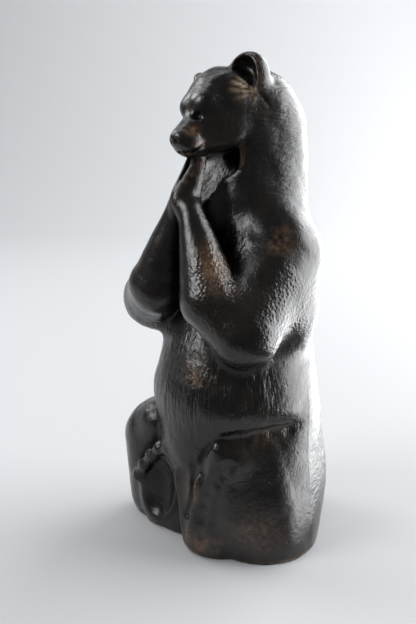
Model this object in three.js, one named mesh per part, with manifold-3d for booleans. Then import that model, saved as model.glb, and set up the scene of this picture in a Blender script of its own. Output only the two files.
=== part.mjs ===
// A seated bear with its forepaws pressed together under its chin, cast in one piece.
// Millimetres, +Z up. The bear faces -Y and its left side is +X. It stands on a flat underside at z = 0.
//
// The form is blended from swept and rounded masses, as a modeller builds it up in clay:
// a lofted trunk, a head set forward and tilted, two folded arms, two drawn-up legs with
// the soles turned forward. Each mass is a distance function of named sizes. The blended
// surface is meshed on a grid that is finer at the head, and the underside is cut flat.
import * as THREE from "three";
import { mergeVertices } from "three/addons/utils/BufferGeometryUtils.js";
import Module from "manifold-3d";

// ---------------------------------------------------------------- sizes
// trunk stations: height, centre line y, half width, half depth
const TRUNK = [
  [-6, 7, 28, 31],
  [8, 7.6, 31, 33.6],
  [24, 8, 31.6, 34.2],
  [40, 3.2, 31.6, 36.4],
  [50, 2, 31.8, 35.8],
  [62, -0.8, 34.6, 34.3],
  [78, 0, 31.6, 32],
  [96, 2.6, 28, 27],
  [114, 5, 25.5, 24.5],
  [132, 6.6, 24, 22.7],
  [150, 7.6, 21.6, 21.6],
  [165, 8, 21.4, 20.8],
  [177, 7.2, 19.6, 18.4],
  [186, 5.3, 15, 14.4],
  [193, 3.6, 9, 9.6],
];
const NAPE_TOP = 192.5; // the neck closes over here, behind the ears

// throat: filled out to the wrists, then cut back to a slope between the two front edges of the neck
const THROAT = { at: [0, -9, 139], size: [9, 14, 17] };
const THROAT_HOLLOW = { at: [0, -17, 160], size: [12.6, 19, 25] };
const THROAT_SLOPE = { out: [0, -0.78, 0.62], through: [0, -8, 157] };

// head; sizes are side, forward and up from the middle of the skull
const HEAD_AT = [0, -8.8, 177.6];
const HEAD_DOWN = 12; // degrees the face is bowed
const HEAD_ROLL = 13; // degrees the head leans to its right
const SKULL = { at: [0, -0.4, 0], size: [14.6, 14.4, 14.4] };
const CHEEK = { at: [6.6, 4.6, -6.6], size: [8, 8.6, 8.6] };
const JAW = { at: [0, 7.5, -10.2], size: [7.6, 10.4, 6.2] };
const FLAT_SIDE = { out: [0.93, 0.36, 0.06], away: 12.8 }; // the sides of the head are flattened here
const MUZZLE = { root: [0, 9.5, -6.6], tip: [0, 20.6, -8.8], rRoot: 7.6, rTip: 5.4 };
const BRIDGE = { root: [0, 11, -1.8], tip: [0, 20.5, -5.6], rRoot: 4.4, rTip: 3.2 };
const CHIN = { at: [0, 18.8, -11.6], size: [4.3, 5.4, 3] };
const BROW = { at: [3.9, 11.4, 3.4], size: [4.6, 3.4, 3] };
const NOSE = { at: [0, 24, -7], size: [4.3, 3, 3.4] };
const EYE_SOCKET = { at: [5.9, 16.3, -1.2], size: [2.4, 2, 1.2] };
const EAR = {
  left: { at: [10.6, -8.2, 7.2], size: [7.9, 5.4, 9.2], hollowAt: [12.2, -4.2, 8], hollow: [5, 5.2, 7.8], up: [0.16, -0.22, 0.96] },
  right: { at: [13.4, -3, 8], size: [6.2, 4.4, 7.2], hollowAt: [15, 0.2, 8.6], hollow: [4.2, 4, 5.8], up: [0.3, -0.1, 0.95] },
};
const EAR_FACING = [0.74, 0.66, 0.12];

// arms: the right one is mirrored, with its own elbow, wrist and paw
const SHOULDER = [20.5, 4.5, 121];
const SHOULDER_R = 16.5;
const ELBOW_R = 13.4;
const TRICEPS = { at: [22.5, 3, 103], size: [15, 15, 18] };
const FOREARM = [17.2, -27.4, 107];
const FOREARM_R = 12;
const WRIST_R = 4.6;
const ARM = {
  left: { elbow: [28.4, -20.3, 95.8], wrist: [5, -28, 139.5], palm: [3.3, -28.6, 143.8], tips: [2.9, -22, 157.2] },
  right: { elbow: [30, -20.3, 98.6], wrist: [3.2, -27.4, 139.5], palm: [0.9, -27.6, 143.8], tips: [0.8, -21.2, 157.2] },
};
const PAW = { rPalm: 5.4, rTips: 2.7, about: [3.2, -25, 150], flatTo: [0.94, -0.342, 0], flat: 1.2 };

// left leg: haunch, thigh and front of the thigh as tapered bars, then knee, foot and sole
const LEFT = {
  haunch: { top: [14.6, -1.5, 42], base: [18.6, -1.6, 3], rTop: 18.8, rBase: 21.6 },
  thigh: { hip: [14.5, 2, 47.6], knee: [18.2, -18.6, 42.6], rHip: 17, rKnee: 9 },
  front: { top: [18.2, -17.4, 41], base: [19.4, -15, 12], rTop: 9.2, rBase: 12.6 },
  shin: { knee: [18.6, -24.2, 46.2], foot: [14.4, -25.8, 15], rKnee: 4.6, rFoot: 5.2 },
  foot: { toe: [5.6, -24.4, 29], heel: [7.6, -25.8, 6], rToe: 10.6, rHeel: 7 },
  heel: { at: [12.8, -21, 4], size: [11, 9.6, 12] },
  sole: { toe: [5.2, -43, 37], heel: [5, -37.6, 8], rToe: 13, rHeel: 5.6 },
};
const FOLD = { from: -5, over: 14, tight: 1.5, loose: 11 }; // the fold over the thigh is tight in front and runs out behind

// right leg, mirrored: the foot is broader and turned in
const RIGHT = {
  thigh: { hip: [17, 7, 34], knee: [27, -17, 40], rHip: 20, rKnee: 14 },
  shin: { knee: [31.2, -19.6, 36.6], foot: [31.6, -17.8, 8], rKnee: 14.4, rFoot: 13.6 },
  knee: { at: [22.5, -24, 45.5], size: [8, 8, 8] },
  haunch: { at: [18.5, -0.5, 8], size: [22.4, 25.4, 19] },
  heel: { at: [12, -19.5, 5], size: [11.5, 9.5, 13] },
  foot: { at: [16.6, -25.6, 18.5], size: [13.6, 6.8, 23] },
  sole: { at: [14.2, -36, 19], size: [11, 9.8, 17.6] },
  footFacing: [-0.24, -0.97, 0],
  footUp: [-0.22, -0.13, 1],
};
// the toes of the right foot lie on an arch: side and height of each
const TOES = { on: [[3.4, 33], [7.6, 39.4], [12.6, 38.4], [17.8, 33.6], [22.8, 27.8], [27.2, 21]], r: 2.3, front: -28.4, turn: 0.25, lean: 0.13 };

// meshing: grid steps on the trunk and on the head, and where the head begins
const STEP_BODY = 4.4;
const STEP_HEAD = 2.9;
const HEAD_FROM = 136;
const BOX = { x: 50, yFront: -47.4, yBack: 44, bottom: -9.5, top: 204 };
const SPARE = 5; // depth below the underside that is cut away

// ---------------------------------------------------------------- distance functions
const rad = (deg) => (deg * Math.PI) / 180;

function smin(a, b, k) {
  const h = Math.max(k - Math.abs(a - b), 0) / k;
  return Math.min(a, b) - h * h * k * 0.25;
}
const smax = (a, b, k) => -smin(-a, -b, k);

// axes from a forward and an up direction: side, forward, up
function axes(forward, up) {
  const f = new THREE.Vector3(...forward).normalize();
  const u = new THREE.Vector3(...up);
  u.addScaledVector(f, -u.dot(f)).normalize();
  const s = new THREE.Vector3().crossVectors(f, u);
  return [s.toArray(), f.toArray(), u.toArray()];
}
const dot = (a, b) => a[0] * b[0] + a[1] * b[1] + a[2] * b[2];

function ellipsoid(p, c, r, ax) {
  let q = [p[0] - c[0], p[1] - c[1], p[2] - c[2]];
  if (ax) q = [dot(q, ax[0]), dot(q, ax[1]), dot(q, ax[2])];
  const a = Math.hypot(q[0] / r[0], q[1] / r[1], q[2] / r[2]);
  const b = Math.hypot(q[0] / r[0] ** 2, q[1] / r[1] ** 2, q[2] / r[2] ** 2);
  return (a * (a - 1)) / Math.max(b, 1e-6);
}

// a limb: two balls of different size joined by a straight taper
function limb(p, a, b, ra, rb) {
  const ba = [b[0] - a[0], b[1] - a[1], b[2] - a[2]];
  const l2 = dot(ba, ba), rr = ra - rb, a2 = l2 - rr * rr;
  const pa = [p[0] - a[0], p[1] - a[1], p[2] - a[2]];
  const y = dot(pa, ba), z = y - l2;
  let x2 = 0;
  for (let i = 0; i < 3; i++) x2 += (pa[i] * l2 - y * ba[i]) ** 2;
  const y2 = y * y * l2, z2 = z * z * l2;
  const k = Math.sign(rr) * rr * rr * x2;
  if (Math.sign(z) * a2 * z2 > k) return Math.sqrt(x2 + z2) / l2 - rb;
  if (Math.sign(y) * a2 * y2 < k) return Math.sqrt(x2 + y2) / l2 - ra;
  return (Math.sqrt((x2 * a2) / l2) + y * rr) / l2 - ra;
}

// smooth interpolation of one column of the trunk stations at a height
function station(z, col) {
  const n = TRUNK.length;
  const slope = (i) => {
    if (i === 0) return (TRUNK[1][col] - TRUNK[0][col]) / (TRUNK[1][0] - TRUNK[0][0]);
    if (i === n - 1) return (TRUNK[i][col] - TRUNK[i - 1][col]) / (TRUNK[i][0] - TRUNK[i - 1][0]);
    const h0 = TRUNK[i][0] - TRUNK[i - 1][0], h1 = TRUNK[i + 1][0] - TRUNK[i][0];
    const d0 = (TRUNK[i][col] - TRUNK[i - 1][col]) / h0, d1 = (TRUNK[i + 1][col] - TRUNK[i][col]) / h1;
    return (d0 * h1 + d1 * h0) / (h0 + h1);
  };
  let i = 0;
  while (i < n - 2 && z > TRUNK[i + 1][0]) i++;
  const h = TRUNK[i + 1][0] - TRUNK[i][0];
  const t = Math.min(Math.max((z - TRUNK[i][0]) / h, 0), 1), t2 = t * t, t3 = t2 * t;
  return (2 * t3 - 3 * t2 + 1) * TRUNK[i][col] + (t3 - 2 * t2 + t) * h * slope(i) +
    (-2 * t3 + 3 * t2) * TRUNK[i + 1][col] + (t3 - t2) * h * slope(i + 1);
}

function trunk(p) {
  const yc = station(p[2], 1), w = station(p[2], 2), d = station(p[2], 3);
  const e = (Math.hypot(p[0] / w, (p[1] - yc) / d) - 1) * Math.min(w, d);
  return smax(e, p[2] - NAPE_TOP, 9) * 0.95;
}

// head axes: bowed about X, then leaned about the line of sight
const cd = Math.cos(rad(HEAD_DOWN)), sd = Math.sin(rad(HEAD_DOWN));
const cr = Math.cos(rad(HEAD_ROLL)), sr = Math.sin(rad(HEAD_ROLL));
const HEAD_AXES = [
  [cr, -sd * sr, cd * sr],
  [0, -cd, -sd],
  [-sr, -sd * cr, cd * cr],
];
for (const ear of [EAR.left, EAR.right]) ear.axes = axes(EAR_FACING, ear.up);

function earAt(q, ear) {
  return smax(ellipsoid(q, ear.at, ear.size, ear.axes), -ellipsoid(q, ear.hollowAt, ear.hollow, ear.axes), 1);
}

function head(p) {
  const r = [p[0] - HEAD_AT[0], p[1] - HEAD_AT[1], p[2] - HEAD_AT[2]];
  const q = HEAD_AXES.map((a) => dot(r, a)); // side, forward, up
  const a = [Math.abs(q[0]), q[1], q[2]];
  let d = ellipsoid(q, SKULL.at, SKULL.size);
  d = smin(d, ellipsoid(a, CHEEK.at, CHEEK.size), 6);
  d = smin(d, ellipsoid(q, JAW.at, JAW.size), 5);
  d = smax(d, dot(a, FLAT_SIDE.out) - FLAT_SIDE.away, 4);
  d = smin(d, limb(q, MUZZLE.root, MUZZLE.tip, MUZZLE.rRoot, MUZZLE.rTip), 4);
  d = smin(d, limb(q, BRIDGE.root, BRIDGE.tip, BRIDGE.rRoot, BRIDGE.rTip), 4);
  d = smin(d, ellipsoid(q, CHIN.at, CHIN.size), 2);
  d = smin(d, ellipsoid(a, BROW.at, BROW.size), 5);
  d = smin(d, ellipsoid(q, NOSE.at, NOSE.size), 1.4);
  d = smax(d, -ellipsoid(a, EYE_SOCKET.at, EYE_SOCKET.size), 1.4);
  d = smin(d, earAt(q, EAR.left), 1.6);
  return smin(d, earAt([-q[0], q[1], q[2]], EAR.right), 1.6);
}

function upperArm(p, arm) {
  const d = limb(p, SHOULDER, arm.elbow, SHOULDER_R, ELBOW_R);
  return smin(d, ellipsoid(p, TRICEPS.at, TRICEPS.size), 6);
}

function forearm(p, arm) {
  const d = smin(limb(p, arm.elbow, FOREARM, ELBOW_R, FOREARM_R), limb(p, FOREARM, arm.wrist, FOREARM_R, WRIST_R), 1);
  const push = dot([p[0] - PAW.about[0], p[1] - PAW.about[1], p[2] - PAW.about[2]], PAW.flatTo) * PAW.flat;
  const q = [0, 1, 2].map((c) => p[c] + push * PAW.flatTo[c]);
  return smin(d, limb(q, arm.palm, arm.tips, PAW.rPalm, PAW.rTips) * 0.55, 4);
}

function leftThigh(p) {
  const { haunch, thigh, front } = LEFT;
  let d = limb(p, haunch.top, haunch.base, haunch.rTop, haunch.rBase);
  d = smin(d, limb(p, thigh.hip, thigh.knee, thigh.rHip, thigh.rKnee), 3);
  return smin(d, limb(p, front.top, front.base, front.rTop, front.rBase), 4);
}

function leftFoot(p) {
  const { shin, foot, heel, sole } = LEFT;
  let d = limb(p, shin.knee, shin.foot, shin.rKnee, shin.rFoot);
  d = smin(d, limb(p, foot.toe, foot.heel, foot.rToe, foot.rHeel), 2);
  d = smin(d, ellipsoid(p, heel.at, heel.size), 7);
  return smax(d, -limb(p, sole.toe, sole.heel, sole.rToe, sole.rHeel), 1);
}

const FOOT_AXES = axes(RIGHT.footFacing, RIGHT.footUp);
const TOE_AT = TOES.on.map(([side, z]) => [side, TOES.front - TOES.turn * (side - 22) - TOES.lean * z, z]);

function rightLeg(p) {
  const { thigh, shin, knee, haunch, heel, foot, sole } = RIGHT;
  let d = limb(p, thigh.hip, thigh.knee, thigh.rHip, thigh.rKnee);
  d = smin(d, limb(p, shin.knee, shin.foot, shin.rKnee, shin.rFoot), 4);
  d = smin(d, ellipsoid(p, knee.at, knee.size), 5);
  d = smin(d, ellipsoid(p, haunch.at, haunch.size), 10);
  d = smin(d, ellipsoid(p, heel.at, heel.size), 4);
  d = smin(d, ellipsoid(p, foot.at, foot.size, FOOT_AXES), 1.5);
  d = smax(d, -ellipsoid(p, sole.at, sole.size, FOOT_AXES), 1);
  for (let i = 1; i < TOE_AT.length; i++) d = smin(d, limb(p, TOE_AT[i - 1], TOE_AT[i], TOES.r, TOES.r - 0.01), 2);
  return d;
}

const clamp = (t) => Math.min(Math.max(t, 0), 1);
const SLOPE_AT = dot(THROAT_SLOPE.out, THROAT_SLOPE.through);

function bear(p) {
  const m = [-p[0], p[1], p[2]];
  let d = smin(trunk(p), ellipsoid(p, THROAT.at, THROAT.size), 2);
  d = smax(d, -Math.max(ellipsoid(p, THROAT_HOLLOW.at, THROAT_HOLLOW.size), SLOPE_AT - dot(p, THROAT_SLOPE.out)), 1);
  d = smin(d, head(p), 2.5);
  d = smin(d, leftThigh(p), FOLD.tight + FOLD.loose * clamp((p[1] - FOLD.from) / FOLD.over));
  d = smin(d, leftFoot(p), 1.5);
  d = smin(d, rightLeg(m), 2);
  d = smin(d, Math.min(upperArm(p, ARM.left), upperArm(m, ARM.right)), 10);
  d = smin(d, Math.min(forearm(p, ARM.left), forearm(m, ARM.right)), 1.5);
  return Math.max(d, -SPARE - p[2]);
}

// ---------------------------------------------------------------- meshing
// grid lines from a to b whose spacing is given at each place
function lines(a, b, spacing) {
  const out = [a];
  while (out[out.length - 1] < b) out.push(out[out.length - 1] + spacing(out[out.length - 1]));
  return out;
}

// One vertex for each connected patch of the surface in each grid cell, placed on the surface,
// and one quad for each grid edge that crosses the surface.
function skin(field, xs, ys, zs) {
  const nx = xs.length, ny = ys.length, nz = zs.length;
  const at = (i, j, k) => (i * ny + j) * nz + k;
  const D = new Float64Array(nx * ny * nz);
  for (let i = 0; i < nx; i++) for (let j = 0; j < ny; j++) for (let k = 0; k < nz; k++) D[at(i, j, k)] = field([xs[i], ys[j], zs[k]]);
  const G = [xs, ys, zs];
  const corner = (n) => [n & 1, (n >> 1) & 1, (n >> 2) & 1];
  const EDGES = [];
  for (let n = 0; n < 8; n++) for (let b = 0; b < 3; b++) if (!((n >> b) & 1)) EDGES.push([n, n | (1 << b)]);
  const verts = [];
  const owner = new Map(); // cell -> for each corner, the vertex of its inside patch
  for (let i = 0; i < nx - 1; i++) for (let j = 0; j < ny - 1; j++) for (let k = 0; k < nz - 1; k++) {
    const d = [];
    for (let n = 0; n < 8; n++) { const c = corner(n); d.push(D[at(i + c[0], j + c[1], k + c[2])]); }
    const inside = d.map((v) => v < 0);
    const count = inside.filter(Boolean).length;
    if (count === 0 || count === 8) continue;
    const group = Array.from({ length: 8 }, (_, n) => n);
    const find = (n) => (group[n] === n ? n : find(group[n]));
    for (const [a, b] of EDGES) if (inside[a] && inside[b]) group[find(a)] = find(b);
    const sum = new Map();
    for (const [a, b] of EDGES) {
      if (inside[a] === inside[b]) continue;
      const g = find(inside[a] ? a : b);
      const t = d[a] / (d[a] - d[b]);
      const ca = corner(a), cb = corner(b);
      const s = sum.get(g) || [0, 0, 0, 0];
      const at3 = [i, j, k];
      for (let c = 0; c < 3; c++) {
        const p0 = G[c][at3[c] + ca[c]], p1 = G[c][at3[c] + cb[c]];
        s[c] += p0 + (p1 - p0) * t;
      }
      s[3]++;
      sum.set(g, s);
    }
    const own = new Array(8).fill(-1);
    for (const [g, s] of sum) {
      const v = settle(field, [s[0] / s[3], s[1] / s[3], s[2] / s[3]], Math.min(xs[i + 1] - xs[i], ys[j + 1] - ys[j], zs[k + 1] - zs[k]));
      for (let n = 0; n < 8; n++) if (inside[n] && find(n) === g) own[n] = verts.length;
      verts.push(v);
    }
    owner.set(at(i, j, k), own);
  }
  const tris = [];
  const n3 = [nx, ny, nz];
  for (let a = 0; a < 3; a++) {
    const b = (a + 1) % 3, c = (a + 2) % 3;
    const e = [0, 0, 0];
    for (e[0] = 0; e[0] < nx; e[0]++) for (e[1] = 0; e[1] < ny; e[1]++) for (e[2] = 0; e[2] < nz; e[2]++) {
      if (e[a] + 1 >= n3[a] || e[b] < 1 || e[c] < 1 || e[b] > n3[b] - 2 || e[c] > n3[c] - 2) continue;
      const f = [...e];
      f[a]++;
      const in0 = D[at(...e)] < 0, in1 = D[at(...f)] < 0;
      if (in0 === in1) continue;
      const ring = [];
      for (const [ob, oc] of [[-1, -1], [0, -1], [0, 0], [-1, 0]]) {
        const cell = [...e];
        cell[b] += ob;
        cell[c] += oc;
        const n = [0, 0, 0]; // the inside end of the edge as a corner of this cell
        n[a] = in0 ? 0 : 1;
        n[b] = -ob;
        n[c] = -oc;
        ring.push(owner.get(at(...cell))[n[0] | (n[1] << 1) | (n[2] << 2)]);
      }
      if (!in0) ring.reverse();
      const [p, q, r, s] = ring.map((v) => new THREE.Vector3(...verts[v]));
      if (p.distanceToSquared(r) <= q.distanceToSquared(s)) tris.push(ring[0], ring[1], ring[2], ring[0], ring[2], ring[3]);
      else tris.push(ring[0], ring[1], ring[3], ring[1], ring[2], ring[3]);
    }
  }
  const geometry = new THREE.BufferGeometry();
  geometry.setAttribute("position", new THREE.Float32BufferAttribute(verts.flat(), 3));
  geometry.setIndex(tris);
  return geometry;
}

// moves a point onto the surface, by no more than half a cell
function settle(field, start, cell) {
  const v = [...start], e = 0.05;
  for (let it = 0; it < 3; it++) {
    const d = field(v);
    const g = [0, 1, 2].map((c) => {
      const a = [...v], b = [...v];
      a[c] += e;
      b[c] -= e;
      return (field(a) - field(b)) / (2 * e);
    });
    const g2 = Math.max(dot(g, g), 0.25);
    for (let c = 0; c < 3; c++) v[c] -= (d * g[c]) / g2;
  }
  const away = Math.hypot(v[0] - start[0], v[1] - start[1], v[2] - start[2]), most = 0.45 * cell;
  if (away > most) for (let c = 0; c < 3; c++) v[c] = start[c] + ((v[c] - start[c]) * most) / away;
  return v;
}

// ---------------------------------------------------------------- solids
const wasm = await Module();
wasm.setup();

function solid(geometry) {
  const g = geometry.clone();
  g.deleteAttribute("normal");
  g.deleteAttribute("uv");
  const merged = mergeVertices(g, 1e-4);
  return new wasm.Manifold(new wasm.Mesh({
    numProp: 3,
    vertProperties: new Float32Array(merged.attributes.position.array),
    triVerts: new Uint32Array(merged.index.array),
  }));
}

function geometryOf(manifold) {
  const mesh = manifold.getMesh();
  const xyz = [];
  for (let i = 0; i < mesh.vertProperties.length; i += mesh.numProp)
    xyz.push(mesh.vertProperties[i], mesh.vertProperties[i + 1], mesh.vertProperties[i + 2]);
  const g = new THREE.BufferGeometry();
  g.setAttribute("position", new THREE.Float32BufferAttribute(xyz, 3));
  g.setIndex([...mesh.triVerts]);
  return g;
}

const across = () => STEP_BODY - 0.5;
const xs = lines(-BOX.x, BOX.x, (x) => (Math.abs(x) < 20 ? STEP_HEAD + 0.5 : across()));
const ys = lines(BOX.yFront, BOX.yBack, (y) => (y < 0 ? STEP_HEAD + 0.5 : across()));
const zs = lines(BOX.bottom, BOX.top, (z) => (z < HEAD_FROM ? STEP_BODY : STEP_HEAD));
const blank = solid(skin(bear, xs, ys, zs));

// the flat underside
const below = new THREE.BoxGeometry(200, 200, 40);
below.translate(0, 0, -20);
const bearGeometry = geometryOf(blank.subtract(solid(below)));

// the part's origin is at the middle of its underside
bearGeometry.computeBoundingBox();
const middle = bearGeometry.boundingBox.getCenter(new THREE.Vector3());
bearGeometry.translate(-middle.x, -middle.y, 0);
bearGeometry.computeVertexNormals();

const castResin = new THREE.MeshStandardMaterial({ color: 0x1f1a16, roughness: 0.25, metalness: 0.0 });

const bearMesh = new THREE.Mesh(bearGeometry, castResin);
bearMesh.name = "bear";

const group = new THREE.Group();
group.add(bearMesh);

export default group;
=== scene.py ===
import math

import bpy
import numpy as np
from mathutils import Matrix, Vector


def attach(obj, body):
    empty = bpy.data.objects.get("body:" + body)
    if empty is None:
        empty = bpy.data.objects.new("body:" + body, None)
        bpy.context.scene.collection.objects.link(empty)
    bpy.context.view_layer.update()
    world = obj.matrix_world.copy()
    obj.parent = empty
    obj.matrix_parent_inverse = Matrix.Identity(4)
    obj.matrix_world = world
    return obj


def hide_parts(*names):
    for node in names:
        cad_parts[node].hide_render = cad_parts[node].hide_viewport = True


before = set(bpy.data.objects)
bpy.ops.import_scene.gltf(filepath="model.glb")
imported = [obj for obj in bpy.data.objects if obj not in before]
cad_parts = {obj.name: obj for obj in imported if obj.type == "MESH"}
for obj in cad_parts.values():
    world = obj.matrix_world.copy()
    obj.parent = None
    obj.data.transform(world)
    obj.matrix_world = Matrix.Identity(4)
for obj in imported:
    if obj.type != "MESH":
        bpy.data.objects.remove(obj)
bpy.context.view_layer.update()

# ---------------------------------------------------------------------------
# The seated bear as one body of clay, in millimetres. It faces -Y, its left side is +X, and it sits on z = 0.
# SHIFT moves the working frame to the part's own frame, whose origin is under the middle of the base.
# ---------------------------------------------------------------------------
SHIFT = (1.79, -1.30, 0.0)
STEP = 0.86          # size of a mesh cell
LOW, HIGH = (-48, -48, -4), (48, 48, 206)

f4 = np.float32


def vec(*a):
    return np.array(a, f4)


def length(p):
    return np.sqrt((p * p).sum(-1))


def smin(a, b, k):
    h = np.maximum(k - np.abs(a - b), 0) / k
    return np.minimum(a, b) - h * h * k * f4(0.25)


def smax(a, b, k):
    return -smin(-a, -b, k)


def axes(forward, up):
    f = np.array(forward, float)
    f /= np.linalg.norm(f)
    u = np.array(up, float)
    u -= f * (u @ f)
    u /= np.linalg.norm(u)
    return np.stack([np.cross(f, u), f, u], 1)


def ellipsoid(p, centre, radii, turn=None):
    q = p - vec(*centre)
    if turn is not None:
        q = q @ turn.astype(f4)
    r = vec(*radii)
    a, b = length(q / r), length(q / (r * r))
    return a * (a - 1) / np.maximum(b, 1e-6)


def limb(p, a, b, ra, rb):
    """A round bar from a to b that tapers from radius ra to rb."""
    a, b = vec(*a), vec(*b)
    ba = b - a
    l2 = float(ba @ ba)
    rr = ra - rb
    a2 = l2 - rr * rr
    pa = p - a
    y = pa @ ba
    z = y - l2
    x2 = ((pa * f4(l2) - y[:, None] * ba) ** 2).sum(1)
    y2, z2 = y * y * l2, z * z * l2
    k = np.sign(rr) * rr * rr * x2
    far_end = (np.sign(z) * a2 * z2) > k
    near_end = (np.sign(y) * a2 * y2) < k
    d = (np.sqrt(x2 * a2 / l2) + y * rr) / l2 - ra
    d = np.where(near_end, np.sqrt(x2 + y2) / l2 - ra, d)
    return np.where(far_end, np.sqrt(x2 + z2) / l2 - rb, d).astype(f4)


def cut(d, p, path, radius, soft):
    """A groove of that radius along a path."""
    for a, b in zip(path[:-1], path[1:]):
        d = smax(d, -limb(p, a, b, radius, radius - 0.001), soft)
    return d


def mirror(p):
    return p * vec(-1, 1, 1)


# The trunk, as level ovals: height, middle in Y, half width, half depth.
TRUNK = np.array([
    (-6, 7, 28, 31), (8, 7.6, 31, 33.6), (24, 8, 31.6, 34.2), (40, 3.2, 31.6, 36.4), (50, 2, 31.8, 35.8), (62, -0.8, 34.6, 34.3),
    (78, 0, 31.6, 32), (96, 2.6, 28, 27), (114, 5, 25.5, 24.5), (132, 6.6, 24, 22.7), (150, 7.6, 21.6, 21.6),
    (165, 8, 21.4, 20.8), (177, 7.2, 19.6, 18.4), (186, 5.3, 15, 14.4), (193, 3.6, 9, 9.6)], float)
NAPE_TOP = 192.5


def slopes(x, y):
    h = np.diff(x)
    s = np.diff(y) / h
    inner = (s[:-1] * h[1:] + s[1:] * h[:-1]) / (h[:-1] + h[1:])
    return np.concatenate([s[:1], inner, s[-1:]])


TRUNK_SLOPES = [slopes(TRUNK[:, 0], TRUNK[:, c]) for c in range(4)]


def station(z, c):
    zs, vs, m = TRUNK[:, 0], TRUNK[:, c], TRUNK_SLOPES[c]
    i = np.clip(np.searchsorted(zs, z) - 1, 0, len(zs) - 2)
    h = zs[i + 1] - zs[i]
    t = np.clip((z - zs[i]) / h, 0, 1)
    t2, t3 = t * t, t * t * t
    return ((2 * t3 - 3 * t2 + 1) * vs[i] + (t3 - 2 * t2 + t) * h * m[i]
            + (3 * t2 - 2 * t3) * vs[i + 1] + (t3 - t2) * h * m[i + 1]).astype(f4)


def trunk(p):
    z = p[:, 2]
    middle, w, d = station(z, 1), station(z, 2), station(z, 3)
    e = (np.sqrt((p[:, 0] / w) ** 2 + ((p[:, 1] - middle) / d) ** 2) - 1) * np.minimum(w, d)
    return smax(e, z - f4(NAPE_TOP), 9) * f4(0.95)


# The head hangs 12 degrees and leans 13 degrees to the bear's right. Head sizes are side, forward, up from HEAD_AT.
HEAD_AT = (0, -8.8, 177.6)
HEAD_DOWN, HEAD_ROLL = math.radians(12), math.radians(13)
_c, _s = math.cos(HEAD_DOWN), math.sin(HEAD_DOWN)
_side, _up = np.array([1, 0, 0.]), np.array([0, -_s, _c])
HEAD = np.stack([_side * math.cos(HEAD_ROLL) + _up * math.sin(HEAD_ROLL), np.array([0, -_c, -_s]),
                 _up * math.cos(HEAD_ROLL) - _side * math.sin(HEAD_ROLL)], 1)
EAR_LEFT = axes((.74, .66, .12), (.16, -.22, .96))
EAR_RIGHT = axes((.74, .66, .12), (.30, -.10, .95))


def head(p):
    q = (p - vec(*HEAD_AT)) @ HEAD.astype(f4)
    a = q.copy()
    a[:, 0] = np.abs(a[:, 0])
    d = ellipsoid(q, (0, -.4, 0), (14.6, 14.4, 14.4))                       # skull
    d = smin(d, ellipsoid(a, (6.6, 4.6, -6.6), (8, 8.6, 8.6)), 6)           # cheeks
    d = smin(d, ellipsoid(q, (0, 7.5, -10.2), (7.6, 10.4, 6.2)), 5)         # jaw
    d = smax(d, a @ vec(.93, .36, .06) - f4(12.8), 4)                       # flat sides
    d = smin(d, limb(q, (0, 9.5, -6.6), (0, 20.6, -8.8), 7.6, 5.4), 4)      # muzzle
    d = smin(d, limb(q, (0, 11, -1.8), (0, 20.5, -5.6), 4.4, 3.2), 4)       # bridge of the nose
    d = smin(d, ellipsoid(q, (0, 18.8, -11.6), (4.3, 5.4, 3)), 2)           # chin
    d = smin(d, ellipsoid(a, (3.9, 11.4, 3.4), (4.6, 3.4, 3)), 5)           # brow
    d = smin(d, ellipsoid(a, (3, 20.4, -9.2), (3.2, 4.2, 3.6)), 1.6)        # upper lip
    d = smin(d, ellipsoid(q, (0, 24, -7), (4.3, 3, 3.4)), 1.4)              # nose pad
    d = smax(d, -ellipsoid(a, (5.9, 16.3, -1.2), (2.4, 2, 1.2)), 1.4)       # eye sockets
    d = smax(d, -ellipsoid(a, (1.8, 27, -7.2), (1.1, 1.2, .9)), .8)         # nostrils
    d = cut(d, a, [(.3, 25, -11.6), (3.7, 22, -12.4), (6.4, 17, -12)], .5, .8)   # mouth
    d = smin(d, ellipsoid(a, (5.7, 13.9, -1.5), (1.3, 1.2, .8)), .3)        # eyes
    e = ellipsoid(q, (10.6, -8.2, 7.2), (7.9, 5.4, 9.2), EAR_LEFT)
    e = smax(e, -ellipsoid(q, (12.2, -4.2, 8), (5, 5.2, 7.8), EAR_LEFT), 1)
    d = smin(d, e, 1.6)
    m = mirror(q)
    e = ellipsoid(m, (13.4, -3, 8), (6.2, 4.4, 7.2), EAR_RIGHT)
    e = smax(e, -ellipsoid(m, (15, .2, 8.6), (4.2, 4, 5.8), EAR_RIGHT), 1)
    return smin(d, e, 1.6)


# Arms: the bear's left arm in its own place, the right arm mirrored with its own elbow and wrist.
SHOULDER, FOREARM = (20.5, 4.5, 121), (17.2, -27.4, 107)
ELBOW = {"left": (28.4, -20.3, 95.8), "right": (30, -20.3, 98.6)}
WRIST = {"left": (5, -28, 139.5), "right": (3.2, -27.4, 139.5)}
PALM = {"left": (3.3, -28.6, 143.8), "right": (.9, -27.6, 143.8)}
TIPS = {"left": (2.9, -22, 157.2), "right": (.8, -21.2, 157.2)}


PAW_FLAT = vec(.94, -.342, 0)       # the paws are pressed flat this way


def upper_arm(p, side):
    d = limb(p, SHOULDER, ELBOW[side], 16.5, 13.4)
    return smin(d, ellipsoid(p, (22.5, 3, 103), (15, 15, 18)), 6)


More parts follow.
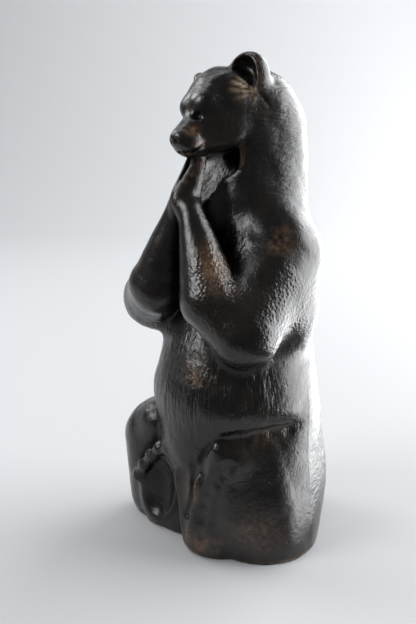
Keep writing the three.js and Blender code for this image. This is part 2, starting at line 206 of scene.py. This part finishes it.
def fore_arm(p, side):
    d = smin(limb(p, ELBOW[side], FOREARM, 13.4, 12), limb(p, FOREARM, WRIST[side], 12, 4.6), 1)
    q = p + ((p - vec(3.2, -25, 150)) @ PAW_FLAT * f4(1.2))[:, None] * PAW_FLAT
    paw = limb(q, PALM[side], TIPS[side], 5.4, 2.7) * f4(.55)
    out = PALM[side][0] + 3.5
    for s in (-2.3, .2, 2.6):                                               # between the fingers
        paw = cut(paw, p, [(out - .1, -27.6 + s, 147.5), (out - .9, -24.2 + .8 * s, 153), (out - 1.9, -21.2 + .6 * s, 159)], .42, .7)
    return smin(d, paw, 4)


# Legs. The two feet are not alike: the right one is broad and turned in, the left one narrow.
RIGHT_FOOT = axes((-.24, -.97, 0), (-.22, -.13, 1))
RIGHT_TOES = [(3.4, 33), (7.6, 39.4), (12.6, 38.4), (17.8, 33.6), (22.8, 27.8), (27.2, 21)]


def left_thigh(p):
    d = limb(p, (14.6, -1.5, 42), (18.6, -1.6, 3), 18.8, 21.6)                 # haunch, wider at the base
    d = smin(d, limb(p, (14.5, 2, 47.6), (18.2, -18.6, 42.6), 17, 9), 3)
    return smin(d, limb(p, (18.2, -17.4, 41), (19.4, -15, 12), 9.2, 12.6), 4)


def left_foot(p):
    d = limb(p, (18.6, -24.2, 46.2), (14.4, -25.8, 15), 4.6, 5.2)                  # knee and shin
    d = smin(d, limb(p, (5.6, -24.4, 29), (7.6, -25.8, 6), 10.6, 7), 2)          # foot
    d = smin(d, ellipsoid(p, (12.8, -21, 4), (11, 9.6, 12)), 7)            # heel
    return smax(d, -limb(p, (5.2, -43, 37), (5, -37.6, 8), 13, 5.6), 1)        # sole


def right_leg(p):
    d = limb(p, (17, 7, 34), (27, -17, 40), 20, 14)
    d = smin(d, limb(p, (31.2, -19.6, 36.6), (31.6, -17.8, 8), 14.4, 13.6), 4)
    d = smin(d, ellipsoid(p, (22.5, -24, 45.5), (8, 8, 8)), 5)
    d = smin(d, ellipsoid(p, (18.5, -.5, 8), (22.4, 25.4, 19)), 10)
    d = smin(d, ellipsoid(p, (12, -19.5, 5), (11.5, 9.5, 13)), 4)
    d = smin(d, ellipsoid(p, (16.6, -25.6, 18.5), (13.6, 6.8, 23), RIGHT_FOOT), 1.5)
    d = smax(d, -ellipsoid(p, (14.2, -36, 19), (11, 9.8, 17.6), RIGHT_FOOT), 1)
    toes = [(x, -28.4 - .25 * (x - 22) - .13 * z, z) for x, z in RIGHT_TOES]
    for a, b in zip(toes[:-1], toes[1:]):
        d = smin(d, limb(p, a, b, 2.2, 2.19), 2)
    for at in toes:
        d = smin(d, ellipsoid(p, at, (2.3, 2.6, 2.4)), 2)
    return d


# Grooves: under the belly's edge above the left thigh, on the two sides of the left shin, and behind the left ear.
FOLD = [(23.4, -25.8, 51.2), (27.6, -21, 52), (31.2, -15.3, 52.8), (33.8, -8.2, 53.3), (35.6, -.8, 53.7), (37.4, 4.6, 54.4)]
KNEE_EDGE = [(18.4, -28.8, 49.4), (15.4, -29.8, 45.4), (11.4, -30.8, 37.4)]
SHIN_EDGE = [(11.4, -32.8, 40.6), (10.2, -31.6, 36.3), (9.2, -31.5, 30.5), (9.4, -32.2, 25), (6.6, -32.6, 15.6)]
SHIN_SIDE = [(27.2, -26.2, 42.4), (23, -28.4, 37.5), (20.4, -30.2, 33.7), (18.4, -31.2, 29), (17, -31.8, 23.4), (16.2, -32.5, 16.7), (16, -33.4, 11)]
EAR_SLIT = [(15.3, -2.8, 182.3), (16.4, -1.3, 180.3), (18, -.2, 177.7)]


# The throat is cut to a slope between the neck's two front edges, from under the jaw down to the wrists.
SLOPE = np.array((0, -.78, .62))
SLOPE_AT = SLOPE @ np.array((0, -8, 157))


def bear(p):
    m = mirror(p)
    d = smin(trunk(p), ellipsoid(p, (0, -9, 139), (9, 14, 17)), 2)
    hollow = np.maximum(ellipsoid(p, (0, -17, 160), (12.6, 19, 25)), f4(SLOPE_AT) - p @ SLOPE.astype(f4))
    d = smax(d, -hollow, 1)
    d = smin(d, head(p), 2.5)
    d = cut(d, p, EAR_SLIT, .7, .6)
    d = smin(d, left_thigh(p), 1.5 + 11 * np.clip((p[:, 1] + 5) / 14, 0, 1))     # a fold in front, run out behind
    d = cut(d, p, FOLD, 3.1, 1.5)
    d = smin(d, left_foot(p), 1.5)
    d = cut(d, p, KNEE_EDGE, 1.2, 1)
    d = cut(d, p, SHIN_EDGE, 2.2, .9)
    d = cut(d, p, SHIN_SIDE, 2.2, 2.6)
    d = smin(d, right_leg(m), 2)
    d = smin(d, np.minimum(upper_arm(p, "left"), upper_arm(m, "right")), 10)
    d = smin(d, np.minimum(fore_arm(p, "left"), fore_arm(m, "right")), 1.5)
    return np.maximum(d, -p[:, 2])


# ---------------------------------------------------------------------------
# Skin: one vertex in each cell that the surface passes through, settled on the surface.
# ---------------------------------------------------------------------------
def field_grid(block=8):
    low = np.array(LOW, float)
    n = np.ceil((np.array(HIGH, float) - low) / STEP).astype(int)
    n = (n + block - 1) // block * block
    grid = np.full(n + 1, 9, f4)
    nb = n // block
    index = np.stack(np.meshgrid(*[np.arange(k) for k in nb], indexing="ij"), -1).reshape(-1, 3)
    d = bear((low + (index + .5) * block * STEP).astype(f4))
    near = np.abs(d) < block * STEP * math.sqrt(3) / 2 * 1.6 + STEP
    for i, j, k in index[~near & (d < 0)] * block:
        grid[i:i + block + 1, j:j + block + 1, k:k + block + 1] = -9
    local = np.stack(np.meshgrid(*[np.arange(block + 1)] * 3, indexing="ij"), -1).reshape(-1, 3)
    chosen = index[near]
    some = max(1, 300000 // len(local))
    for s in range(0, len(chosen), some):
        g = (chosen[s:s + some, None, :] * block + local[None]).reshape(-1, 3)
        grid[g[:, 0], g[:, 1], g[:, 2]] = bear((low + g * STEP).astype(f4))
    return grid, low


def skin(grid, low):
    inside = grid < 0
    n = [k - 1 for k in grid.shape]
    count = np.zeros(n, np.int8)
    for i in (0, 1):
        for j in (0, 1):
            for k in (0, 1):
                count += inside[i:n[0] + i, j:n[1] + j, k:n[2] + k]
    active = (count > 0) & (count < 8)
    number = -np.ones(n, np.int64)
    cells = np.argwhere(active)
    number[active] = np.arange(len(cells))
    total, hits = np.zeros((len(cells), 3)), np.zeros(len(cells))
    for axis in range(3):
        o = [b for b in range(3) if b != axis]
        for u in (0, 1):
            for v in (0, 1):
                a = np.zeros(3, int)
                a[o[0]], a[o[1]] = u, v
                b = a.copy()
                b[axis] = 1
                A, B = cells + a, cells + b
                da, db = grid[A[:, 0], A[:, 1], A[:, 2]], grid[B[:, 0], B[:, 1], B[:, 2]]
                x = (da < 0) != (db < 0)
                at = np.tile(a.astype(float), (len(cells), 1))
                at[:, axis] = np.where(x, da / (da - db + 1e-20), 0)
                total[x] += at[x]
                hits[x] += 1
    points = low + STEP * (cells + total / hits[:, None])
    quads = []
    for axis in range(3):
        b, c = (axis + 1) % 3, (axis + 2) % 3
        s0, s1 = [slice(None)] * 3, [slice(None)] * 3
        s0[axis], s1[axis] = slice(0, -1), slice(1, None)
        first = inside[tuple(s0)]
        edges = np.argwhere(first != inside[tuple(s1)])
        edges = edges[(edges[:, b] > 0) & (edges[:, c] > 0) & (edges[:, b] < grid.shape[b] - 1) & (edges[:, c] < grid.shape[c] - 1)]
        leaving = first[edges[:, 0], edges[:, 1], edges[:, 2]]

        def cell(db, dc):
            q = edges.copy()
            q[:, b] += db
            q[:, c] += dc
            return number[q[:, 0], q[:, 1], q[:, 2]]

        q = np.stack([cell(-1, -1), cell(0, -1), cell(0, 0), cell(-1, 0)], 1)
        q[~leaving] = q[~leaving][:, ::-1]
        quads.append(q)
    return points, np.concatenate(quads)


def slope_at(points, eps=.15):
    n = len(points)
    q = np.concatenate([points] + [points + s * eps * e for e in np.eye(3) for s in (1, -1)]).astype(f4)
    out = np.concatenate([bear(q[i:i + 300000]) for i in range(0, len(q), 300000)]).astype(float)
    r = out[n:].reshape(6, n)
    return out[:n], np.stack([r[0] - r[1], r[2] - r[3], r[4] - r[5]], 1) / (2 * eps)


grid, low = field_grid()
points, quads = skin(grid, low)
for _ in range(2):
    d, g = slope_at(points)
    points -= np.clip(d / np.maximum((g * g).sum(1), .25), -.5 * STEP, .5 * STEP)[:, None] * g
d, g = slope_at(points)
normal = g / np.maximum(np.linalg.norm(g, axis=1), 1e-9)[:, None]


# ---------------------------------------------------------------------------
# Relief worked into the surface, and the places where it lies; also the masks for worn bronze with painted edge
# highlight, and for painted shade in hollows.
# ---------------------------------------------------------------------------
def lattice(i, j, k, seed):
    h = (i.astype(np.uint32) * np.uint32(0x8da6b343)) ^ (j.astype(np.uint32) * np.uint32(0xd8163841)) \
        ^ (k.astype(np.uint32) * np.uint32(0xcb1ab31f)) ^ np.uint32(seed * 7919 + 13)
    h ^= h >> np.uint32(13)
    h *= np.uint32(0x5bd1e995)
    h ^= h >> np.uint32(15)
    return (h & np.uint32(0xffff)).astype(np.float64) / 65535.


def noise(p, seed=1):
    """Smooth noise between -1 and 1 with a period of about 1."""
    i = np.floor(p).astype(np.int64)
    t = p - i
    t = t * t * (3 - 2 * t)
    out = 0
    for a in (0, 1):
        for b in (0, 1):
            for c in (0, 1):
                w = (t[:, 0] if a else 1 - t[:, 0]) * (t[:, 1] if b else 1 - t[:, 1]) * (t[:, 2] if c else 1 - t[:, 2])
                out = out + w * lattice(i[:, 0] + a, i[:, 1] + b, i[:, 2] + c, seed)
    return 2 * out - 1


def spot(p, centre, radii, edge=.6):
    """1 inside an oval place, falling to 0 at its edge."""
    r = np.sqrt((((p - np.array(centre, float)) / np.array(radii, float)) ** 2).sum(1))
    t = np.clip((1 - r) / edge, 0, 1)
    return t * t * (3 - 2 * t)


def rise(a, b, x):
    t = np.clip((x - a) / (b - a), 0, 1)
    return t * t * (3 - 2 * t)



def beside(reach):
    """The surface's distance from each point moved along its normal."""
    q = (points + normal * reach).astype(f4)
    return np.concatenate([bear(q[i:i + 300000]) for i in range(0, len(q), 300000)]).astype(float)


# Painted shade: a mask for creases, recesses and the hollow of the right foot's sole, where shade falls; the material
# darkens these places and dims their reflections.
hollow_shade = np.maximum.reduce([rise(.12, .6, 1 - beside(2.2) / 2.2), .8 * rise(.2, .8, 1 - beside(6) / 6), .6 * spot(points, (-14, -28, 19), (12, 9, 18))])
# Convex edges, used below to paint lighter bronze along them: partly edge wear, partly a painted highlight.
ridge_highlight = rise(.3, .65, 1 + beside(-2.4) / 2.4)

x, y, z = points.T
front = rise(.1, -.5, normal[:, 1] - .35 * np.abs(normal[:, 0]))
behind = rise(.1, .55, normal[:, 1])
belly = rise(44, 56, z) * rise(100, 84, z) * rise(0, -.5, normal[:, 1])
chest = np.maximum(spot(points, (15, -13.5, 123), (11, 9, 15)), spot(points, (-15, -13.5, 123), (11, 9, 15)))
throat = spot(points, (0, -13, 149), (9, 13, 16))
back = behind * rise(6, 26, z) * rise(196, 184, z)
shoulder = np.maximum(spot(points, (40, -10, 104), (13, 22, 24)), spot(points, (-40, -10, 104), (13, 22, 24)))
shoulder = np.maximum(shoulder, .7 * np.maximum(spot(points, (27, -26, 104), (12, 12, 18)), spot(points, (-27, -26, 104), (12, 12, 18))))
fore = np.maximum(spot(points, (23, -29, 114), (15, 13, 26)), spot(points, (-23, -29, 114), (15, 13, 26)))
neck = rise(138, 150, z) * rise(192, 184, z) * rise(-12, -2, y)
scalp = spot(points, (0, -12, 186), (18, 18, 14))

upright = np.stack([x / 2.2, y / 2.2, z / 16], 1)
lie = np.stack([x / 7, y / 7 + z / 3.2, z / 1.9 - y / 4], 1)
wander = np.stack([noise(points / 9, 5), noise(points / 9, 6), noise(points / 9, 7)], 1) * .5
relief = .30 * noise(points / 11, 1) + .12 * noise(points / 4.5, 2)
relief += belly * .19 * noise(upright + wander, 11)
relief += chest * .7 * noise(upright * 1.05 + wander, 12)
relief += throat * .34 * noise(upright * 1.5 + .3 * wander, 13)
relief += back * .13 * noise(lie + wander, 14)
relief += neck * .22 * noise(np.stack([x / 2.6, y / 4 + z / 9, z / 7], 1) + wander, 15)
relief += np.maximum(shoulder, .9 * fore) * .07 * noise(points / 1.7, 16)
relief += scalp * .16 * noise(np.stack([x / 2, y / 8, z / 4], 1) + wander, 17)
tuft_from = points - np.array((14.9, -3.2, 182.9))
tuft = spot(points, (12.2, -7, 183.6), (7, 8.5, 7), .6)
fan = np.degrees(np.arctan2(tuft_from[:, 2], -tuft_from[:, 1]))
tufts = np.max([much * np.exp(-((fan - at) / 5.5) ** 2) for at, much in ((40, 1), (22, 1), (4, .6), (-16, .4), (-62, .7))], 0)
relief += tuft * .5 * (tufts - .3)
lift = rise(0, 3, z) * (1 - .7 * spot(points, (3, -25, 172), (11, 13, 12)))
points = points + normal * (relief * lift)[:, None]
points[:, 2] = np.maximum(points[:, 2], 0)
points[normal[:, 2] < -.98, 2] = np.where(points[normal[:, 2] < -.98, 2] < 1, 0, points[normal[:, 2] < -.98, 2])

rub_and_edge_highlight = tuft * np.clip(.2 + tufts, 0, 1)
for centre, radii, much in [((23, -29, 120), (12, 10, 18), .9), ((30.7, -5.6, 129.5), (7, 8, 10), .8), ((6, -28, 169.3), (4, 6, 4), 1),
                            ((8.2, -26.7, 164), (3, 4, 3), .8), ((9.6, -31, 76), (9, 8, 14), .7),
                            ((-20, -31, 116), (10, 10, 18), .7), ((28, -12, 52), (14, 14, 8), .2), ((8, -33, 28), (8, 6, 16), .3),
                            ((15, -30, 6), (18, 10, 8), .5), ((-30, 0, 128), (8, 10, 12), .5),
                            ((32, -16, 14), (16, 20, 13), .4), ((24, -27, 100), (12, 10, 14), .5)]:
    rub_and_edge_highlight = np.maximum(rub_and_edge_highlight, much * spot(points, centre, radii, 1))
# Edges are painted lighter bronze here too, edge wear together with a painted highlight along them; hollows are kept
# clear of it.
rub_and_edge_highlight = np.clip(np.maximum(rub_and_edge_highlight, .45 * ridge_highlight) * (1 - hollow_shade), 0, 1)
bare = tuft * np.clip(1.3 * tufts - .35, 0, 1)


# ---------------------------------------------------------------------------
# The piece.
# ---------------------------------------------------------------------------
mesh = bpy.data.meshes.new("bear_statue")
verts = (points + np.array(SHIFT)) * .001
mesh.vertices.add(len(verts))
mesh.vertices.foreach_set("co", verts.astype(np.float32).ravel())
mesh.loops.add(quads.size)
mesh.loops.foreach_set("vertex_index", quads.astype(np.int32).ravel())
mesh.polygons.add(len(quads))
mesh.polygons.foreach_set("loop_start", np.arange(0, quads.size, 4, dtype=np.int32))
mesh.polygons.foreach_set("use_smooth", np.ones(len(quads), bool))
mesh.update(calc_edges=True)
mesh.validate()
# The worn-bronze attribute also carries painted edge highlight; the hollow attribute carries painted shade, faded out
# near the base.
for name, values in {"rub_and_edge_highlight": rub_and_edge_highlight, "upright": np.clip(belly + chest + throat, 0, 1), "comb": np.clip(np.maximum(back, .8 * neck) + .5 * scalp, 0, 1),
                     "stipple": np.maximum(shoulder, 1.5 * fore), "hollow_shade": hollow_shade * rise(0, 1.5, z), "dull": neck * (1 - behind), "bare": bare}.items():
    mesh.attributes.new(name, "FLOAT", "POINT").data.foreach_set("value", values.astype(np.float32))
statue = bpy.data.objects.new("bear_statue", mesh)
bpy.context.scene.collection.objects.link(statue)


# ---------------------------------------------------------------------------
# Dark glossy patina, rubbed to brown bronze on the high places; the lighter bronze along edges is partly a painted
# highlight, and the hollows carry painted shade.
# ---------------------------------------------------------------------------
def build_patina():
    mat = bpy.data.materials.new("patinated_resin")
    mat.use_nodes = True
    t = mat.node_tree
    n, link = t.nodes, t.links.new
    shader = n["Principled BSDF"]
    coords = n.new("ShaderNodeTexCoord").outputs["Object"]

    def stretched(scale, turn=(0, 0, 0)):
        m = n.new("ShaderNodeMapping")
        m.inputs["Scale"].default_value = scale
        m.inputs["Rotation"].default_value = turn
        link(coords, m.inputs["Vector"])
        return m.outputs["Vector"]

    def clouds(scale, detail=4., rough=.55, vector=None, distortion=0.):
        k = n.new("ShaderNodeTexNoise")
        k.inputs["Scale"].default_value = scale
        k.inputs["Detail"].default_value = detail
        k.inputs["Roughness"].default_value = rough
        k.inputs["Distortion"].default_value = distortion
        link(vector if vector is not None else coords, k.inputs["Vector"])
        return k.outputs["Fac"]

    def span(value, a, b, c, d):
        m = n.new("ShaderNodeMapRange")
        for key, v in zip(("From Min", "From Max", "To Min", "To Max"), (a, b, c, d)):
            m.inputs[key].default_value = v
        link(value, m.inputs["Value"])
        return m.outputs["Result"]

    def maths(op, a, b):
        m = n.new("ShaderNodeMath")
        m.operation = op
        for i, v in enumerate((a, b)):
            if isinstance(v, (int, float)):
                m.inputs[i].default_value = v
            else:
                link(v, m.inputs[i])
        return m.outputs[0]

    def place(name):
        k = n.new("ShaderNodeAttribute")
        k.attribute_name = name
        return k.outputs["Fac"]

    def mixed(fac, a, b):
        m = n.new("ShaderNodeMix")
        m.data_type = "RGBA"
        link(fac, m.inputs["Factor"])
        for socket, v in ((m.inputs[6], a), (m.inputs[7], b)):
            if isinstance(v, tuple):
                socket.default_value = v
            else:
                link(v, socket)
        return m.outputs[2]

    blotch = clouds(70, 6, .62)
    fine = clouds(420, 5, .6)
    dark = mixed(span(blotch, .35, .7, 0, 1), (.0055, .005, .0048, 1), (.017, .0135, .0105, 1))
    # The worn bronze mask also carries the painted highlight along edges.
    wear_and_edge_highlight = maths("MULTIPLY", place("rub_and_edge_highlight"), span(maths("ADD", blotch, maths("MULTIPLY", fine, .8)), .75, 1.15, 0, 1))
    brown = mixed(span(fine, .3, .7, 0, 1), (.15, .08, .042, 1), (.28, .165, .095, 1))
    worn_and_edge_highlight = mixed(place("bare"), mixed(wear_and_edge_highlight, dark, brown), (.42, .33, .22, 1))
    # Painted shade: hollows are mixed towards near-black, and their reflections are dimmed.
    painted_shade = span(place("hollow_shade"), 0, 1, 0, .8)
    link(mixed(painted_shade, worn_and_edge_highlight, (.004, .0035, .003, 1)), shader.inputs["Base Color"])
    link(span(place("hollow_shade"), 0, 1, .5, .12), shader.inputs["Specular IOR Level"])
    gloss = maths("ADD", span(clouds(110, 5, .6), .3, .75, .15, .34), maths("MULTIPLY", wear_and_edge_highlight, .14))
    gloss = maths("ADD", gloss, maths("MULTIPLY", place("dull"), .18))
    link(gloss, shader.inputs["Roughness"])
    shader.inputs["Metallic"].default_value = 0
    shader.inputs["IOR"].default_value = 1.52

    lines = clouds(1, 3, .5, stretched((820, 820, 70)), .25)
    combed = clouds(1, 3, .5, stretched((160, 240, 900), (math.radians(24), 0, 0)), .2)
    grain = clouds(1500, 3, .55)
    dots = n.new("ShaderNodeTexVoronoi")
    dots.inputs["Scale"].default_value = 760
    link(coords, dots.inputs["Vector"])
    pits = n.new("ShaderNodeTexVoronoi")
    pits.inputs["Scale"].default_value = 210
    link(coords, pits.inputs["Vector"])
    height = maths("MULTIPLY", maths("MULTIPLY", lines, place("upright")), .00055)
    height = maths("ADD", height, maths("MULTIPLY", maths("MULTIPLY", combed, place("comb")), .0006))
    height = maths("ADD", height, maths("MULTIPLY", maths("MULTIPLY", dots.outputs["Distance"], place("stipple")), .0002))
    height = maths("ADD", height, maths("MULTIPLY", grain, .00008))
    height = maths("ADD", height, maths("MULTIPLY", fine, .00022))
    height = maths("ADD", height, maths("MULTIPLY", span(pits.outputs["Distance"], 0, .16, 0, 1), .00012))
    bump = n.new("ShaderNodeBump")
    bump.inputs["Strength"].default_value = 1
    bump.inputs["Distance"].default_value = 1
    link(height, bump.inputs["Height"])
    link(bump.outputs["Normal"], shader.inputs["Normal"])
    return mat


mesh.materials.append(build_patina())
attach(statue, "root")
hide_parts("bear")


# ---------------------------------------------------------------------------
# Camera, pale floor that sweeps up behind, and soft light.
# ---------------------------------------------------------------------------
EYE_AT = np.array([265.8, -223.0, 184.3])
AZIMUTH, YAW, TILT, FOCAL = math.radians(50), math.radians(2.04), math.radians(14.5), 867.0
g = -np.array([math.sin(AZIMUTH), -math.cos(AZIMUTH)])
rg = np.array([g[1], -g[0]])
level = g * math.cos(YAW) - rg * math.sin(YAW)
RIGHT = np.array([level[1], -level[0], 0])
AHEAD = np.array([level[0], level[1], 0])
look = AHEAD * math.cos(TILT) - np.array([0, 0, math.sin(TILT)])
UP = np.cross(RIGHT, look)
camera = bpy.data.objects.new("camera", bpy.data.cameras.new("camera"))
place = np.eye(4)
place[:3, 0], place[:3, 1], place[:3, 2], place[:3, 3] = RIGHT, UP, -look, (EYE_AT + np.array(SHIFT)) * .001
camera.matrix_world = Matrix(place.tolist())
camera.data.sensor_width = 36
camera.data.lens = FOCAL / 624 * 36
camera.data.clip_start = .01
bpy.context.scene.collection.objects.link(camera)
bpy.context.scene.camera = camera


def in_room(right, ahead, up):
    return Vector(RIGHT * right + AHEAD * ahead) + Vector((0, 0, up))


# The floor is a table top that ends just outside the picture on the near side and on the right.
profile = [(-.13, 0, .05), (.75, 0, .27)] + [(.75 + .35 * math.sin(a), .35 - .35 * math.cos(a), .3 + a) for a in np.linspace(.1, math.pi / 2, 10)] + [(1.1, 2.2, 2.2)]
corners = [in_room(side, a, h - .0003) for a, h, right in profile for side in (-2.2, right)]
sweep = bpy.data.meshes.new("floor")
sweep.from_pydata(corners, [], [(2 * i, 2 * i + 1, 2 * i + 3, 2 * i + 2) for i in range(len(profile) - 1)])
for f in sweep.polygons:
    f.use_smooth = True
floor = bpy.data.objects.new("floor", sweep)
bpy.context.scene.collection.objects.link(floor)
pale = bpy.data.materials.new("pale_floor")
pale.use_nodes = True
pale.node_tree.nodes["Principled BSDF"].inputs["Base Color"].default_value = (.44, .444, .452, 1)
pale.node_tree.nodes["Principled BSDF"].inputs["Roughness"].default_value = .75
sweep.materials.append(pale)


def softbox(name, at, to, size, power, colour=(1, 1, 1)):
    data = bpy.data.lights.new(name, "AREA")
    data.shape = "RECTANGLE"
    data.size, data.size_y = size
    data.energy = power
    data.color = colour
    o = bpy.data.objects.new(name, data)
    o.location = at
    o.rotation_euler = (Vector(to) - Vector(at)).to_track_quat("-Z", "Y").to_euler()
    bpy.context.scene.collection.objects.link(o)


softbox("window", in_room(.777, .329, .18), (0, 0, .10), (1.56, 1.48), 52, (.97, .985, 1))
softbox("left", in_room(-.50, -.22, .42), (0, 0, .12), (.30, .30), 2.6)
softbox("far", in_room(-.62, .42, .62), (0, 0, .14), (.36, .36), 2.6)
softbox("backdrop", in_room(-.4, .35, 1.3), in_room(-.4, 1.0, .35), (1.2, .6), 8, (.96, .98, 1))
world = bpy.data.worlds.new("studio")
world.use_nodes = True
world.node_tree.nodes["Background"].inputs["Color"].default_value = (.80, .84, .90, 1)
world.node_tree.nodes["Background"].inputs["Strength"].default_value = .11
bpy.context.scene.world = world
bpy.context.scene.view_settings.view_transform = "Standard"
